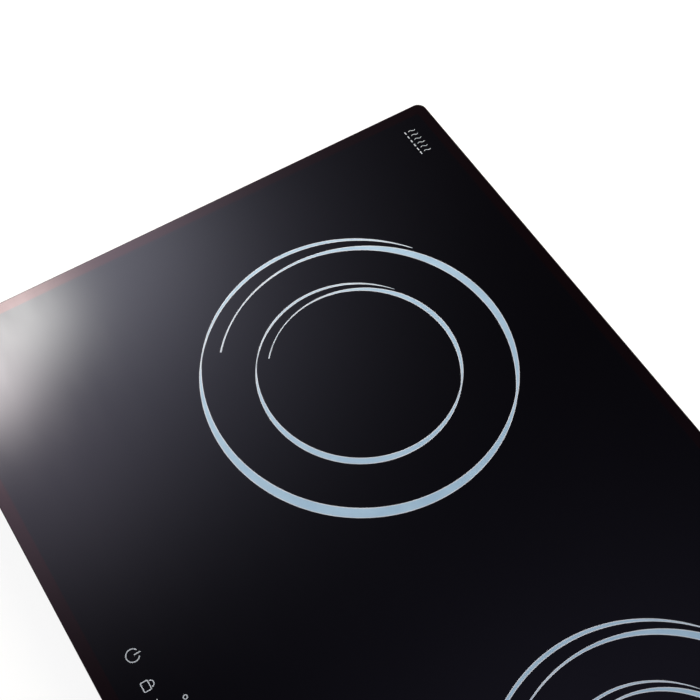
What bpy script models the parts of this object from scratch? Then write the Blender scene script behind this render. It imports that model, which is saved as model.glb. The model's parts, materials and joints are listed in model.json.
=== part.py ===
"""Drop-in induction cooktop with two cooking zones: a glass-ceramic panel on a shallow steel pan.

Frame: +X to the user's right, +Y to the back, +Z up. The origin is at the centre of the pan's underside.
Sizes are in millimetres until link() scales a mesh, and place() a location, by MM.
"""

import math

import bmesh
import bpy
from mathutils import Matrix

MM = 0.001
GAP = 0.3  # air left between pieces that touch

# Glass panel
GLASS_WIDTH, GLASS_DEPTH, GLASS_THICK = 597, 362, 4
GLASS_CORNER = 6
HEIGHT = 64  # pan's underside to cooking surface
GLASS_LOW = HEIGHT - GLASS_THICK

# Cooking zones: the left one is at -ZONE_X, the right one at +ZONE_X
ZONE_X, ZONE_Y = 145, 35

# Steel pan and its flange
PAN_WIDTH, PAN_DEPTH, SHEET = 556, 320, 1
PAN_CORNER = 6
FLANGE_WIDTH, FLANGE_DEPTH, FLANGE_CORNER = 576, 340, 12
FLANGE_TOP = 55.6
PAN_RIM = 55.3  # the wall ends inside the flange's thickness
LEDGE_LENGTH, LEDGE_HALF, LEDGE_THICK = 8, 12, 2.7  # under the carrier plate's ends
INTAKE_RADIUS, INTAKE_PITCH, SLOT_WIDTH = 38, 8, 4  # slots in the floor, under each fan
VENTS, VENT_PITCH, VENT_START, VENT_LOW, VENT_HIGH = 11, 13, 120, 14, 38  # slots in the front wall

# Frame that the glass is bonded to, and the foam strip round it
FRAME_WIDTH, FRAME_DEPTH, FRAME_BORDER = 575, 339, 19.5
FRAME_LOW, FRAME_HIGH = FLANGE_TOP + GAP, GLASS_LOW - GAP
SEAL_INSET, SEAL_WIDTH, SEAL_THICK = 2, 8, 3
SEAL_HIGH = GLASS_LOW - GAP

# Coil carrier plate and what stands on it
CARRIER_WIDTH, CARRIER_DEPTH, CARRIER_THICK = 548, 312, 1.2
CARRIER_LOW = 40.5
CARRIER_HIGH = CARRIER_LOW + CARRIER_THICK
FERRITE_LOW, FERRITE_SIZE, FERRITE_RADIUS = 46.8, (52, 15, 4), 55
FORMER_LOW, FORMER_THICK, FORMER_RADIUS, FORMER_BORE = 51.1, 2.2, 91, 14
WINDING_LOW, WINDING_HIGH, WINDING_INNER, WINDING_OUTER = 53.6, 57.8, 24, 87
WINDING_TURNS = 5
INSULATION_LOW, INSULATION_THICK, INSULATION_RADIUS = 58.1, 0.8, 92
SENSOR_RADIUS, SENSOR_LOW, SENSOR_HIGH = 6, CARRIER_HIGH + GAP, 59.7
RIM_THICK, RIM_HEIGHT = 2, 5.5
EAR_RADIUS, EAR_ORBIT, EAR_TOP = 8, 94, 2
SPRING_RADIUS, SPRING_WIRE, SPRING_TURNS = 5, 1.1, 2.5

# Cooling fans, under the coils at the back
FAN_X, FAN_Y, FAN_LOW = 215, 95, SHEET + GAP
FAN_SIZE, FAN_HEIGHT, FAN_BORE = 92, 25, 44
HUB_RADIUS, STATOR_THICK = 17, 3
ROTOR_LOW, ROTOR_HIGH, BLADE_TIP, BLADES = 4, 22, 42, 7
SHAFT_RADIUS, SHAFT_BORE = 1.5, 1.7
BLADE_PITCH, BLADE_CHORD, BLADE_THICK, BLADE_BURY = math.radians(38), 22, 1.4, 1.5
FAN_HOLE_PLACE, FAN_HOLE_RADIUS = 41, 2

# Power boards, one under each zone, and what is soldered to them
BOARD_SIZE = (250, 186, 1.6)
BOARD_X, BOARD_Y, BOARD_LOW = 141, -57, 8
BOARD_HIGH = BOARD_LOW + BOARD_SIZE[2]
STANDOFF_RADIUS, STANDOFF_INSET = 3, 8
SINK_SIZE, SINK_BASE, SINK_FINS, FIN_THICK = (84, 96, 28), 5, 9, 2
SINK_X, SINK_Y = 215, -18
IGBT_SIZE, IGBT_Y, LEG_LENGTH, LEG_PITCH = (5, 16, 21), -30, 2, 5.4
CAPACITOR_SIZE, CAPACITOR_X, PARTS_Y = (32, 50, 28), 125, -50
CHOKE_RADIUS, CHOKE_THICK, CHOKE_X = 16, 7, 75

# Touch controls, under the glass at the front
TOUCH_Y = -122
HOLDER_SIZE, HOLDER_WALL, HOLDER_FLOOR = (166, 54, 9), 3, 2
HOLDER_LOW = 48.5
DISPLAY_SIZE, DISPLAY_X, DISPLAY_BACK = (36, 16, 6.5), 45, 8
TOUCH_BOARD_SIZE = (158, 46, 1.2)
HOLDER_LEG_X, HOLDER_LEG_Y, HOLDER_LEG_RADIUS = 70, 18, 3

# Mains inlet in the back wall
INLET_HEIGHT, INLET_BORE = 25, 5.5
GLAND_NECK, GLAND_FLANGE = 9.5, 13
TERMINAL_SIZE, TERMINAL_Y, POLE_X = (54, 26, 20), 112, 17
PORT_HEIGHT, PORT_RADIUS, POLE_SCREW_RADIUS = 9, 3, 3.2

# Wiring inside the pan
LEAD_RADIUS, RIBBON_WIDTH, RIBBON_THICK, RIBBON_X = 1.6, 20, 0.8, 36
LEAD_SLOT = (75, -78)  # the coil lead's slot in the carrier plate: towards the middle from the zone, and y
RIBBON_SLOT_Y = -85

# Hold-down clamps: an arm on a long vertical screw beside the pan, at each corner
CLAMP_X, CLAMP_Y = 284, 110
SCREW_RADIUS, SCREW_HEAD, PIN_RADIUS = 2, 4, 1.3
LUG_LOW, LUG_THICK, LUG_LENGTH, LUG_HALF = 6, 1.5, 11, 7
ARM_LOW, ARM_HUB_RADIUS, ARM_HUB_HEIGHT = 9, 4.6, 8
ARM_LENGTH, ARM_WIDTH, ARM_THICK, ARM_TOOTH = 32, 8, 2, 3

SIDES = (("left", -1), ("right", 1))
QUARTER = math.pi / 2

# name: (linear colour, roughness, metallic)
FINISHES = {
    "glass_ceramic": ((0.008, 0.008, 0.010), 0.06, 0.0),
    "seal_foam": ((0.030, 0.030, 0.032), 0.95, 0.0),
    "frame_plastic": ((0.035, 0.035, 0.037), 0.55, 0.0),
    "pan_steel": ((0.55, 0.56, 0.57), 0.42, 1.0),
    "carrier_aluminium": ((0.78, 0.79, 0.80), 0.38, 1.0),
    "former_plastic": ((0.10, 0.09, 0.08), 0.6, 0.0),
    "copper_litz": ((0.72, 0.33, 0.16), 0.4, 1.0),
    "ferrite": ((0.05, 0.05, 0.055), 0.7, 0.0),
    "mica": ((0.62, 0.58, 0.50), 0.7, 0.0),
    "spring_steel": ((0.62, 0.62, 0.60), 0.3, 1.0),
    "circuit_board": ((0.02, 0.16, 0.07), 0.5, 0.0),
    "component_black": ((0.02, 0.02, 0.02), 0.5, 0.0),
    "capacitor_case": ((0.55, 0.10, 0.06), 0.45, 0.0),
    "display_lens": ((0.10, 0.01, 0.01), 0.25, 0.0),
    "lead_jacket": ((0.50, 0.06, 0.04), 0.5, 0.0),
    "ribbon_grey": ((0.45, 0.45, 0.47), 0.5, 0.0),
    "zinc_steel": ((0.66, 0.67, 0.68), 0.35, 1.0),
}


def clear_scene():
    for obj in list(bpy.data.objects):
        bpy.data.objects.remove(obj)


def collection(name):
    made = bpy.data.collections.new(name)
    bpy.context.scene.collection.children.link(made)
    return made


def material(name):
    if name not in bpy.data.materials:
        colour, roughness, metallic = FINISHES[name]
        made = bpy.data.materials.new(name)
        made.use_nodes = True
        shader = made.node_tree.nodes["Principled BSDF"]
        shader.inputs["Base Color"].default_value = (*colour, 1)
        shader.inputs["Roughness"].default_value = roughness
        shader.inputs["Metallic"].default_value = metallic
    return bpy.data.materials[name]


def link(name, mesh, finish, at=(0, 0, 0), turn=0.0):
    """An object of the cooktop from a mesh in millimetres, at a place and a turn about +Z."""
    mesh.transform(Matrix.Scale(MM, 4))
    mesh.name = name
    mesh.materials.append(material(finish))
    mesh.shade_smooth()
    mesh.set_sharp_from_angle(angle=math.radians(35))
    obj = bpy.data.objects.new(name, mesh)
    obj.location = [v * MM for v in at]
    obj.rotation_euler.z = turn
    obj.parent = cooktop
    parts.objects.link(obj)
    return obj


def tool(name, mesh, target):
    """A helper in the target's own frame: a cutter, or a shape to be joined to it."""
    mesh.transform(Matrix.Scale(MM, 4))
    obj = bpy.data.objects.new(f"{target.name}_{name}", mesh)
    obj.parent = target
    obj.hide_render = True
    obj.display_type = "WIRE"
    helpers.objects.link(obj)
    return obj


def boolean(target, name, mesh, operation):
    modifier = target.modifiers.new(name, "BOOLEAN")
    modifier.operation = operation
    modifier.solver = "EXACT"
    modifier.object = tool(name, mesh, target)


def cut(target, name, mesh):
    boolean(target, name, mesh, "DIFFERENCE")


def join(target, name, mesh):
    boolean(target, name, mesh, "UNION")


def bevel(obj, width, segments=2):
    modifier = obj.modifiers.new("bevel", "BEVEL")
    modifier.width = width * MM
    modifier.segments = segments
    modifier.limit_method = "ANGLE"
    modifier.angle_limit = math.radians(40)


def arc(centre, radius, start, end, steps):
    """Points along an arc, both ends included. Angles are in radians."""
    x, y = centre
    angles = [start + (end - start) * i / steps for i in range(steps + 1)]
    return [(x + radius * math.cos(a), y + radius * math.sin(a)) for a in angles]


def round_outline(radius, steps=32, centre=(0, 0)):
    return arc(centre, radius, 0, 2 * math.pi, steps)[:-1]


def slab_outline(width, depth, corner, centre=(0, 0), steps=4):
    """A rectangle with round corners."""
    x, y = width / 2 - corner, depth / 2 - corner
    corners = ((x, y), (-x, y), (-x, -y), (x, -y))
    points = []
    for i, (cx, cy) in enumerate(corners):
        middle = (centre[0] + cx, centre[1] + cy)
        points += arc(middle, corner, i * QUARTER, (i + 1) * QUARTER, steps)
    return points


def plate(outlines, thick):
    """A flat plate from z = 0 up. The first outline is its edge, and the others are holes in it."""
    curve = bpy.data.curves.new("plate", "CURVE")
    curve.dimensions = "2D"
    curve.fill_mode = "BOTH"
    curve.extrude = thick / 2
    for outline in outlines:
        spline = curve.splines.new("POLY")
        spline.points.add(len(outline) - 1)
        for point, (x, y) in zip(spline.points, outline):
            point.co = (x, y, 0, 1)
        spline.use_cyclic_u = True
    flat = bpy.data.objects.new("plate", curve)
    mesh = bpy.data.meshes.new_from_object(flat)
    bpy.data.curves.remove(curve)
    shape = bmesh.new()
    shape.from_mesh(mesh)
    bmesh.ops.remove_doubles(shape, verts=shape.verts, dist=0.001)
    bmesh.ops.translate(shape, verts=shape.verts, vec=(0, 0, thick / 2))
    bmesh.ops.recalc_face_normals(shape, faces=shape.faces)
    shape.to_mesh(mesh)
    shape.free()
    return mesh


def solids(boxes=(), cylinders=()):
    """One mesh of boxes, as (low corner, high corner), and cylinders, as (end, end, radius)."""
    shape = bmesh.new()
    for low, high in boxes:
        size = [b - a for a, b in zip(low, high)]
        middle = [(a + b) / 2 for a, b in zip(low, high)]
        matrix = Matrix.Translation(middle) @ Matrix.Diagonal((*size, 1))
        bmesh.ops.create_cube(shape, size=1, matrix=matrix)
    for start, end, radius in cylinders:
        span = [b - a for a, b in zip(start, end)]
        length = math.hypot(*span)
        middle = [(a + b) / 2 for a, b in zip(start, end)]
        lie = Matrix.Rotation(-QUARTER, 4, "X") if abs(span[1]) > abs(span[2]) else Matrix.Identity(4)
        bmesh.ops.create_cone(
            shape,
            cap_ends=True,
            segments=16,
            radius1=radius,
            radius2=radius,
            depth=length,
            matrix=Matrix.Translation(middle) @ lie,
        )
    mesh = bpy.data.meshes.new("solids")
    shape.to_mesh(mesh)
    shape.free()
    return mesh


def block(size):
    """A box that stands on z = 0, centred in x and y."""
    width, depth, height = size
    return solids(boxes=[((-width / 2, -depth / 2, 0), (width / 2, depth / 2, height))])


def turned(name, profile, finish, at, closed=False, steps=24):
    """A turned piece. Its profile, as (radius, height), runs down its outer side."""
    mesh = bpy.data.meshes.new(name)
    edges = [(i, i + 1) for i in range(len(profile) - 1)]
    if closed:
        edges.append((len(profile) - 1, 0))
    mesh.from_pydata([(r, 0, z) for r, z in profile], edges, [])
    obj = link(name, mesh, finish, at)
    screw = obj.modifiers.new("screw", "SCREW")
    screw.steps = screw.render_steps = steps
    screw.use_merge_vertices = True
    screw.merge_threshold = 0.00001
    return obj


def rounded(route, rounds=2):
    """A route with its corners cut off, twice over, and its ends kept."""
    for _ in range(rounds):
        eased = [route[0]]
        for a, b in zip(route, route[1:]):
            eased.append([u + (v - u) / 4 for u, v in zip(a, b)])
            eased.append([u + (v - u) * 3 / 4 for u, v in zip(a, b)])
        route = eased + [route[-1]]
    return route


def wire(name, route, radius, finish, sides=2, at=(0, 0, 0)):
    """A round wire along a route, as one closed piece."""
    curve = bpy.data.curves.new("wire", "CURVE")
    curve.dimensions = "3D"
    curve.bevel_depth = radius
    curve.bevel_resolution = sides
    curve.use_fill_caps = True
    spline = curve.splines.new("POLY")
    spline.points.add(len(route) - 1)
    for point, place in zip(spline.points, route):
        point.co = (*place, 1)
    path = bpy.data.objects.new("wire", curve)
    mesh = bpy.data.meshes.new_from_object(path)
    bpy.data.curves.remove(curve)
    shape = bmesh.new()
    shape.from_mesh(mesh)
    bmesh.ops.remove_doubles(shape, verts=shape.verts, dist=0.001)
    shape.to_mesh(mesh)
    shape.free()
    return link(name, mesh, finish, at)


def glass_panel():
    outline = slab_outline(GLASS_WIDTH, GLASS_DEPTH, GLASS_CORNER)
    panel = link("glass_panel", plate([outline], GLASS_THICK), "glass_ceramic", (0, 0, GLASS_LOW))
    bevel(panel, 0.8)


def rim_seal():
    outer = (GLASS_WIDTH - 2 * SEAL_INSET, GLASS_DEPTH - 2 * SEAL_INSET)
    inner = [size - 2 * SEAL_WIDTH for size in outer]
    outlines = [slab_outline(*outer, 5), slab_outline(*inner, 3, steps=2)]
    link("rim_seal", plate(outlines, SEAL_THICK), "seal_foam", (0, 0, SEAL_HIGH - SEAL_THICK))


def glass_frame():
    outer = slab_outline(FRAME_WIDTH, FRAME_DEPTH, 8)
    inner = slab_outline(FRAME_WIDTH - 2 * FRAME_BORDER, FRAME_DEPTH - 2 * FRAME_BORDER, 6, steps=3)
    link("glass_frame", plate([outer, inner], FRAME_HIGH - FRAME_LOW), "frame_plastic", (0, 0, FRAME_LOW))


def tray():
    """The pan's open box, with its upright and bottom edges rounded."""
    shape = bmesh.new()
    size = Matrix.Diagonal((PAN_WIDTH, PAN_DEPTH, PAN_RIM, 1))
    bmesh.ops.create_cube(shape, size=1, matrix=Matrix.Translation((0, 0, PAN_RIM / 2)) @ size)
    top = [face for face in shape.faces if face.normal.z > 0.5]
    bmesh.ops.delete(shape, geom=top, context="FACES")
    folds = [edge for edge in shape.edges if not edge.is_boundary]
    bmesh.ops.bevel(
        shape, geom=folds, offset=PAN_CORNER, segments=3, profile=0.5, affect="EDGES", clamp_overlap=True
    )
    mesh = bpy.data.meshes.new("tray")
    shape.to_mesh(mesh)
    shape.free()
    return mesh


def clamp_places():
    """(number, x, y, turn) of each clamp. The turn lays its arm along the pan, to swing out by +90 degrees."""
    return [
        (1, -CLAMP_X, CLAMP_Y, 0),
        (2, -CLAMP_X, -CLAMP_Y, 0),
        (3, CLAMP_X, -CLAMP_Y, math.pi),
        (4, CLAMP_X, CLAMP_Y, math.pi),
    ]


def pan_fittings():
    """Screw lugs, ledges for the carrier plate and standoffs for the boards, all welded to the pan."""
    wall = PAN_WIDTH / 2 - SHEET / 2
    boxes, cylinders = [], []
    for _, x, y, _ in clamp_places():
        low, high = sorted((math.copysign(wall, x), math.copysign(wall + LUG_LENGTH, x)))
        boxes.append(((low, y - LUG_HALF, LUG_LOW), (high, y + LUG_HALF, LUG_LOW + LUG_THICK)))
        low, high = sorted((math.copysign(wall + 0.2, x), math.copysign(wall - LEDGE_LENGTH, x)))
        top = CARRIER_LOW - GAP
        boxes.append(((low, y - LEDGE_HALF, top - LEDGE_THICK), (high, y + LEDGE_HALF, top)))
    reach_x, reach_y = (size / 2 - STANDOFF_INSET for size in BOARD_SIZE[:2])
    for sign in (-1, 1):
        for dx in (-reach_x, reach_x):
            for dy in (-reach_y, reach_y):
                x, y = sign * BOARD_X + dx, BOARD_Y + dy
                cylinders.append(((x, y, SHEET / 2), (x, y, BOARD_LOW - GAP), STANDOFF_RADIUS))
    return solids(boxes, cylinders)


def pan_openings():
    """Fan intakes in the floor, vents in the front wall, the inlet's hole and the clamp screws' holes."""
    boxes, cylinders = [], []
    slot, back = SLOT_WIDTH / 2, PAN_DEPTH / 2
    for sign in (-1, 1):
        for i in range(-4, 5):
            x = sign * FAN_X + INTAKE_PITCH * i
            half = math.sqrt(INTAKE_RADIUS**2 - (INTAKE_PITCH * i) ** 2)
            boxes.append(((x - slot, FAN_Y - half, -1), (x + slot, FAN_Y + half, SHEET + 1)))
        for i in range(VENTS):
            x = sign * (VENT_START + VENT_PITCH * i)
            boxes.append(((x - slot, -back - 1, VENT_LOW), (x + slot, -back + SHEET + 1, VENT_HIGH)))
    cylinders.append(((0, back - SHEET - 1, INLET_HEIGHT), (0, back + 1, INLET_HEIGHT), GLAND_NECK + GAP))
    for _, x, y, _ in clamp_places():
        cylinders.append(((x, y, LUG_LOW - 1), (x, y, LUG_LOW + LUG_THICK + 1), SCREW_RADIUS + 0.4))
        cylinders.append(((x, y, FLANGE_TOP - 2), (x, y, FLANGE_TOP + 1), PIN_RADIUS + 0.4))
    return solids(boxes, cylinders)


def base_pan():
    pan = link("base_pan", tray(), "pan_steel")
    skin = pan.modifiers.new("sheet", "SOLIDIFY")
    skin.thickness = SHEET * MM
    skin.offset = -1
    inside = (PAN_WIDTH - 3 * SHEET, PAN_DEPTH - 3 * SHEET, PAN_CORNER - 1.5 * SHEET)
    flange = plate([slab_outline(FLANGE_WIDTH, FLANGE_DEPTH, FLANGE_CORNER), slab_outline(*inside)], SHEET)
    flange.transform(Matrix.Translation((0, 0, FLANGE_TOP - SHEET)))
    join(pan, "flange", flange)
    join(pan, "fittings", pan_fittings())
    cut(pan, "openings", pan_openings())


def carrier_plate():
    outlines = [slab_outline(CARRIER_WIDTH, CARRIER_DEPTH, 8)]
    for _, sign in SIDES:
        outlines.append(round_outline(4, 12, (sign * ZONE_X, ZONE_Y)))
        outlines.append(slab_outline(30, 10, 4, (sign * (ZONE_X - LEAD_SLOT[0]), LEAD_SLOT[1]), steps=2))
    outlines.append(slab_outline(RIBBON_WIDTH + 12, 12, 4, (RIBBON_X, RIBBON_SLOT_Y), steps=2))
    link("carrier_plate", plate(outlines, CARRIER_THICK), "carrier_aluminium", (0, 0, CARRIER_LOW))


def ear_angles():
    return [math.radians(a) for a in (90, 210, 330)]


def coil_former(side, x):
    """A flat tray with a rim round the winding and three ears, which stand on springs."""
    disc = plate([round_outline(FORMER_RADIUS), round_outline(FORMER_BORE, 16)], FORMER_THICK)
    former = link(f"coil_former_{side}", disc, "former_plastic", (x, ZONE_Y, FORMER_LOW))
    outer, bury = FORMER_RADIUS - 0.4, 0.5
    rim = plate([round_outline(outer), round_outline(outer - RIM_THICK)], RIM_HEIGHT - bury)
    rim.transform(Matrix.Translation((0, 0, bury)))
    join(former, "rim", rim)
    ears = [(EAR_ORBIT * math.cos(a), EAR_ORBIT * math.sin(a)) for a in ear_angles()]
    pads = [((ex, ey, 0.2), (ex, ey, EAR_TOP), EAR_RADIUS) for ex, ey in ears]
    join(former, "ears", solids(cylinders=pads))


def winding_profile():
    """A ring of turns side by side: flat below, and a round back on each turn above."""
    width = (WINDING_OUTER - WINDING_INNER) / WINDING_TURNS
    height = WINDING_HIGH - WINDING_LOW
    valley = 0.62 * height
    points = []
    for turn in range(WINDING_TURNS):
        middle = WINDING_OUTER - width * (turn + 0.5)
        points += [(middle + width / 2, valley), (middle, height)]
    points += [(WINDING_INNER, valley), (WINDING_INNER, 0), (WINDING_OUTER, 0)]
    return points[::-1]


def induction_coil(side, x):
    coil_former(side, x)
    turned(
        f"coil_winding_{side}",
        winding_profile(),
        "copper_litz",
        (x, ZONE_Y, WINDING_LOW),
        closed=True,
        steps=32,
    )
    disc = plate([round_outline(INSULATION_RADIUS), round_outline(FORMER_BORE, 16)], INSULATION_THICK)
    link(f"insulation_disc_{side}", disc, "mica", (x, ZONE_Y, INSULATION_LOW))
    for i in range(4):
        angle = QUARTER * (i + 0.5)
        at = (
            x + FERRITE_RADIUS * math.cos(angle),
            ZONE_Y + FERRITE_RADIUS * math.sin(angle),
            FERRITE_LOW,
        )
        bevel(link(f"ferrite_bar_{side}_{i + 1}", block(FERRITE_SIZE), "ferrite", at, angle), 0.6, 1)


def temperature_sensor(side, x):
    """A capsule in the coil's middle that reaches up to the glass, on a stem through the carrier plate."""
    height = SENSOR_HIGH - SENSOR_LOW
    profile = [(0, height), (4, height), (SENSOR_RADIUS, height - 2), (SENSOR_RADIUS, 3)]
    profile += [(9, 2), (9, 0), (2.5, 0), (2.5, -6), (0, -6)]
    turned(f"temperature_sensor_{side}", profile, "component_black", (x, ZONE_Y, SENSOR_LOW), steps=16)


def coil_springs(side, x):
    """Open coil springs that lift the former's ears towards the glass."""
    low, high = CARRIER_HIGH + GAP, FORMER_LOW - GAP
    rise = high - low - SPRING_WIRE - 0.3
    count = int(SPRING_TURNS * 8)
    route = []
    for k in range(count + 1):
        a = QUARTER * k / 2
        z = SPRING_WIRE / 2 + 0.15 + rise * k / count
        route.append((SPRING_RADIUS * math.cos(a), SPRING_RADIUS * math.sin(a), z))
    for i, ear in enumerate(ear_angles()):
        at = (x + EAR_ORBIT * math.cos(ear), ZONE_Y + EAR_ORBIT * math.sin(ear), low)
        wire(f"coil_spring_{side}_{i + 1}", route, SPRING_WIRE / 2, "spring_steel", sides=1, at=at)


def heat_sink(side, sign):
    """An extruded comb: its fins stand up and run front to back."""
    width, length, height = SINK_SIZE
    pitch = (width - FIN_THICK) / (SINK_FINS - 1)
    comb = [(width / 2, 0)]
    for i in reversed(range(SINK_FINS)):
        fin = -width / 2 + FIN_THICK / 2 + pitch * i
        right, left = fin + FIN_THICK / 2, fin - FIN_THICK / 2
        comb += [(right, height), (left, height)]
        if i:
            comb += [(left, SINK_BASE), (left - pitch + FIN_THICK, SINK_BASE)]
    comb.append((-width / 2, 0))
    mesh = plate([comb], length)
    mesh.transform(Matrix.Rotation(QUARTER, 4, "X"))
    at = (sign * SINK_X, SINK_Y + length / 2, BOARD_HIGH + GAP)
    link(f"heat_sink_{side}", mesh, "carrier_aluminium", at)


def power_electronics(side, sign):
    """A power board with its heat sink, switching transistor, resonant capacitor and choke."""
    board = plate([slab_outline(*BOARD_SIZE[:2], 3, steps=2)], BOARD_SIZE[2])
    link(f"power_board_{side}", board, "circuit_board", (sign * BOARD_X, BOARD_Y, BOARD_LOW))
    heat_sink(side, sign)
    deck = BOARD_HIGH + GAP
    sink_face = SINK_X - SINK_SIZE[0] / 2
    at = (sign * (sink_face - IGBT_SIZE[0] / 2 - GAP), IGBT_Y, deck + LEG_LENGTH)
    igbt = link(f"igbt_{side}", block(IGBT_SIZE), "component_black", at)
    legs = [((-0.5, LEG_PITCH * k - 0.6, -LEG_LENGTH), (0.5, LEG_PITCH * k + 0.6, 1)) for k in (-1, 0, 1)]
    join(igbt, "legs", solids(boxes=legs))
    at = (sign * CAPACITOR_X, PARTS_Y, deck)
    bevel(link(f"capacitor_{side}", block(CAPACITOR_SIZE), "capacitor_case", at), 1.5)
    section = [(CHOKE_RADIUS + x, y) for x, y in reversed(round_outline(CHOKE_THICK, 8))]
    at = (sign * CHOKE_X, PARTS_Y, deck + CHOKE_THICK)
    turned(f"choke_{side}", section, "copper_litz", at, closed=True, steps=18)


def fan_frame(side, x):
    outlines = [slab_outline(FAN_SIZE, FAN_SIZE, 6, steps=3), round_outline(FAN_BORE, 32)]
    for dx in (-FAN_HOLE_PLACE, FAN_HOLE_PLACE):
        for dy in (-FAN_HOLE_PLACE, FAN_HOLE_PLACE):
            outlines.append(round_outline(FAN_HOLE_RADIUS, 8, (dx, dy)))
    frame = link(f"fan_frame_{side}", plate(outlines, FAN_HEIGHT), "component_black", (x, FAN_Y, FAN_LOW))
    reach = FAN_BORE + 1
    hub = plate([round_outline(HUB_RADIUS, 24), round_outline(SHAFT_BORE, 12)], STATOR_THICK)
    hub.transform(Matrix.Translation((0, 0, 0.4)))
    join(frame, "stator", hub)
    arms = []
    for near, far in ((HUB_RADIUS - 2, reach), (-reach, 2 - HUB_RADIUS)):
        arms.append(((near, -2, 0.6), (far, 2, STATOR_THICK)))
        arms.append(((-2, near, 0.6), (2, far, STATOR_THICK)))
    join(frame, "struts", solids(boxes=arms))


def fan_rotor(side, x):
    """A hub on a shaft, with blades pitched round it. It turns about its own Z."""
    profile = [(0, ROTOR_HIGH), (HUB_RADIUS - 2, ROTOR_HIGH), (HUB_RADIUS, ROTOR_HIGH - 2)]
    profile += [(HUB_RADIUS, ROTOR_LOW), (SHAFT_RADIUS, ROTOR_LOW), (SHAFT_RADIUS, 1), (0, 1)]
    rotor = turned(f"fan_rotor_{side}", profile, "component_black", (x, FAN_Y, FAN_LOW), steps=28)
    middle = (ROTOR_LOW + ROTOR_HIGH) / 2
    root = HUB_RADIUS - BLADE_BURY
    shape = bmesh.new()
    for i in range(BLADES):
        size = Matrix.Diagonal((BLADE_TIP - root, BLADE_CHORD, BLADE_THICK, 1))
        pitched = Matrix.Rotation(BLADE_PITCH, 4, "X") @ size
        out = Matrix.Translation(((root + BLADE_TIP) / 2, 0, middle)) @ pitched
        bmesh.ops.create_cube(shape, size=1, matrix=Matrix.Rotation(2 * math.pi * i / BLADES, 4, "Z") @ out)
    blades = bpy.data.meshes.new("blades")
    shape.to_mesh(blades)
    shape.free()
    join(rotor, "blades", blades)


def touch_controls():
    width, depth, height = HOLDER_SIZE
    holder = link("touch_holder", block(HOLDER_SIZE), "frame_plastic", (0, TOUCH_Y, HOLDER_LOW))
    half_x, half_y = width / 2 - HOLDER_WALL, depth / 2 - HOLDER_WALL
    cut(holder, "pocket", solids(boxes=[((-half_x, -half_y, HOLDER_FLOOR), (half_x, half_y, height + 1))]))
    window = (RIBBON_X - RIBBON_WIDTH / 2 - 2, RIBBON_X + RIBBON_WIDTH / 2 + 2)
    cut(holder, "window", solids(boxes=[((window[0], half_y - 1, 3), (window[1], depth / 2 + 1, 6))]))
    drop = CARRIER_HIGH + GAP - HOLDER_LOW
    places = [(x, y) for x in (-HOLDER_LEG_X, HOLDER_LEG_X) for y in (-HOLDER_LEG_Y, HOLDER_LEG_Y)]
    join(holder, "legs", solids(cylinders=[((x, y, drop), (x, y, 1), HOLDER_LEG_RADIUS) for x, y in places]))
    board_low = HOLDER_LOW + HOLDER_FLOOR + GAP
    link("touch_board", block(TOUCH_BOARD_SIZE), "circuit_board", (0, TOUCH_Y, board_low))
    for side, sign in SIDES:
        at = (sign * DISPLAY_X, TOUCH_Y + DISPLAY_BACK, board_low + TOUCH_BOARD_SIZE[2] + GAP)
        bevel(link(f"display_{side}", block(DISPLAY_SIZE), "display_lens", at), 0.5, 1)


def mains_inlet():
    """A gland in the back wall for the supply cable, and the terminal block that it leads to."""
    profile = [(INLET_BORE, -10), (INLET_BORE, 11), (8, 11), (9.5, 9), (9.5, 4), (GLAND_FLANGE, 4)]
    profile += [(GLAND_FLANGE, GAP), (GLAND_NECK, GAP), (GLAND_NECK, -SHEET - GAP)]
    profile += [(GLAND_FLANGE, -SHEET - GAP), (GLAND_FLANGE, -SHEET - 5), (9.5, -SHEET - 5), (9.5, -10)]
    gland = turned(
        "cable_gland",
        profile,
        "frame_plastic",
        (0, PAN_DEPTH / 2, INLET_HEIGHT),
        closed=True,
        steps=20,
    )
    gland.rotation_euler.x = -QUARTER
    terminals = link("terminal_block", block(TERMINAL_SIZE), "frame_plastic", (0, TERMINAL_Y, SHEET + GAP))
    front, top = -TERMINAL_SIZE[1] / 2, TERMINAL_SIZE[2]
    holes = []
    for x in (-POLE_X, 0, POLE_X):
        holes.append(((x, front - 1, PORT_HEIGHT), (x, front + 8, PORT_HEIGHT), PORT_RADIUS))
        holes.append(((x, 4, top / 2), (x, 4, top + 1), POLE_SCREW_RADIUS))
    cut(terminals, "ports", solids(cylinders=holes))


def coil_lead(side, sign):
    """From the coil former's edge, down through the carrier plate, to the power board."""
    slot_x, slot_y = ZONE_X - LEAD_SLOT[0], LEAD_SLOT[1]
    route = [
        (slot_x + 24, slot_y + 36, 52),
        (slot_x + 12, slot_y + 18, 49),
        (slot_x, slot_y + 1, 46),
        (slot_x, slot_y, 34),
        (slot_x, slot_y - 5, 22),
        (slot_x, slot_y - 5, BOARD_HIGH + GAP),
    ]
    route = rounded([(sign * x, y, z) for x, y, z in route])
    wire(f"coil_lead_{side}", route, LEAD_RADIUS, "lead_jacket")


def mains_lead(side, sign):
    """From the terminal block to the power board."""
    port = SHEET + GAP + PORT_HEIGHT
    route = [(POLE_X, 104, port), (POLE_X, 70, port), (24, 40, 16), (44, 20, 20), (44, 18, BOARD_HIGH + GAP)]
    wire(f"mains_lead_{side}", rounded([(sign * x, y, z) for x, y, z in route]), LEAD_RADIUS, "lead_jacket")


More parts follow.
